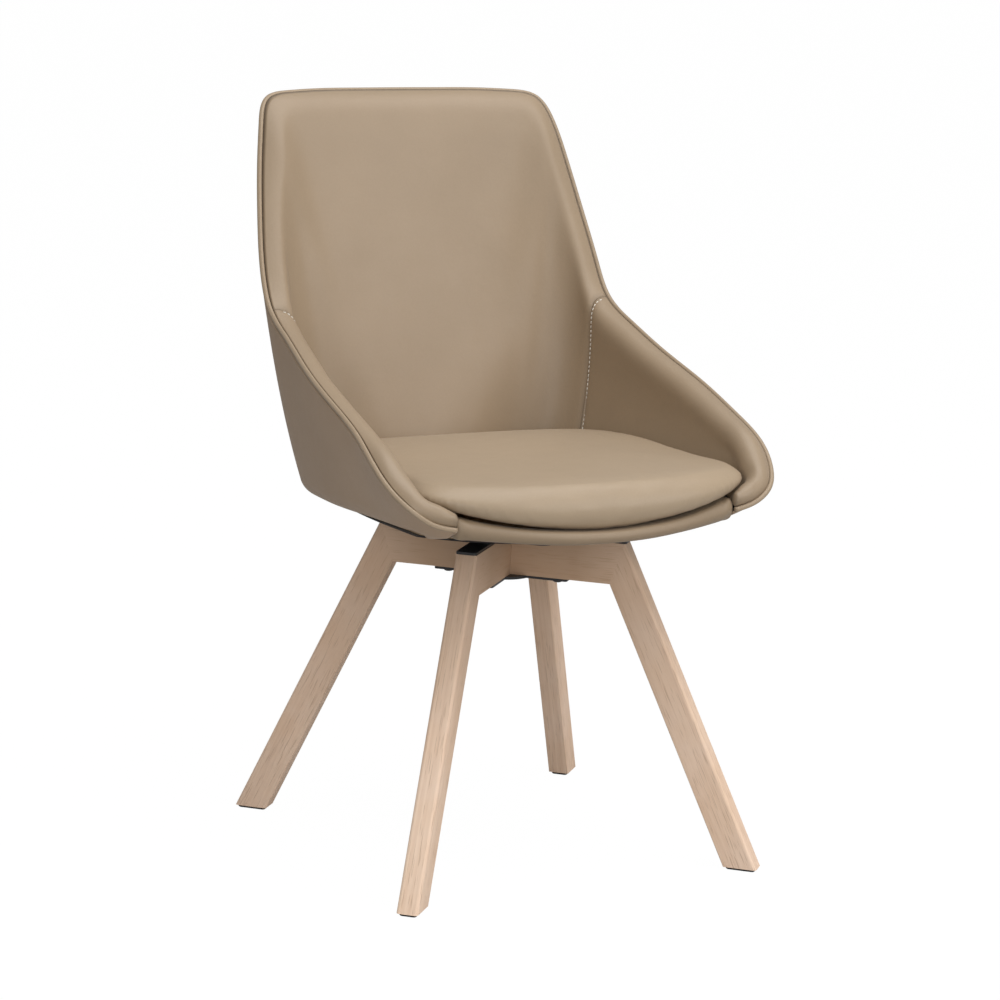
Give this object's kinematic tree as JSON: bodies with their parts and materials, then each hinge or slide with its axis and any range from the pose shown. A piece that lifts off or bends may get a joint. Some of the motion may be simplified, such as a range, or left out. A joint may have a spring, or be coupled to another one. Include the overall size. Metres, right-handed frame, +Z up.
{
  "type": "swivel dining chair",
  "caption": "Swivel dining chair: padded leather bucket seat with high back and piped rim, on a ball bearing plate over splayed whitewashed wooden legs.",
  "frame": {"origin": "on the floor, on the vertical axis of the swivel", "axes": "+Z up, the sitter faces -Y, +X is the sitter's left; the legs stand on the diagonals"},
  "size_m": [0.498, 0.5657, 0.8536],
  "materials": {
    "whitewashed_wood": "whitewashed, matt",
    "dowel_wood": "plain beech",
    "foot_pad": "black, matt",
    "black_steel": "black powder coat, satin",
    "black_bolt": "blackened",
    "zinc_steel": "zinc plated",
    "bearing_steel": "polished",
    "cage_plastic": "natural",
    "black_plastic": "black, fine texture",
    "plywood": "raw plywood",
    "black_cloth": "thin nonwoven",
    "shell_plastic": "moulded, dark",
    "side_leather": "smooth taupe, matt",
    "seat_leather": "smooth taupe, soft satin",
    "piping_leather": "smooth taupe, soft satin"
  },
  "bodies": {
    "base": {"leg_front_left": "whitewashed_wood", "leg_front_right": "whitewashed_wood", "leg_back_left": "whitewashed_wood", "leg_back_right": "whitewashed_wood", "rail_lower": "whitewashed_wood", "rail_upper": "whitewashed_wood", "mitre_dowels": "dowel_wood", "glide_front_left": "foot_pad", "glide_front_right": "foot_pad", "glide_back_left": "foot_pad", "glide_back_right": "foot_pad", "glide_nails": "zinc_steel", "bottom_cross_plate": "black_steel", "top_cross_plate": "black_steel", "frame_bolts": "black_bolt", "frame_nuts": "zinc_steel", "swivel_lower_plate": "black_steel", "swivel_pivot": "zinc_steel"},
    "ball_cage": {"ball_cage": "cage_plastic", "bearing_balls": "bearing_steel"},
    "seat": {"swivel_upper_plate": "black_steel", "tilt_spacer": "black_plastic", "seat_bolts": "black_bolt", "tee_nuts": "zinc_steel", "seat_board": "plywood", "dust_cover": "black_cloth", "outer_cover": "side_leather", "bucket_shell": "shell_plastic", "arm_pad_left": "seat_leather", "arm_pad_right": "seat_leather", "back_pad": "seat_leather", "rim_piping": "piping_leather", "front_band": "seat_leather", "seat_cushion": "seat_leather"}
  },
  "joints": [
    {"name": "seat_swivel", "type": "hinge", "parent": "base", "child": "seat", "pos_m": [0, 0, 0.3784], "axis": [0, 0, 1], "continuous": true},
    {"name": "cage_spin", "type": "hinge", "parent": "base", "child": "ball_cage", "pos_m": [0, 0, 0.3784], "axis": [0, 0, 1], "continuous": true}
  ],
  "couplings": [
    {"joint": "cage_spin", "follows": "seat_swivel", "ratio": 0.5}
  ]
}
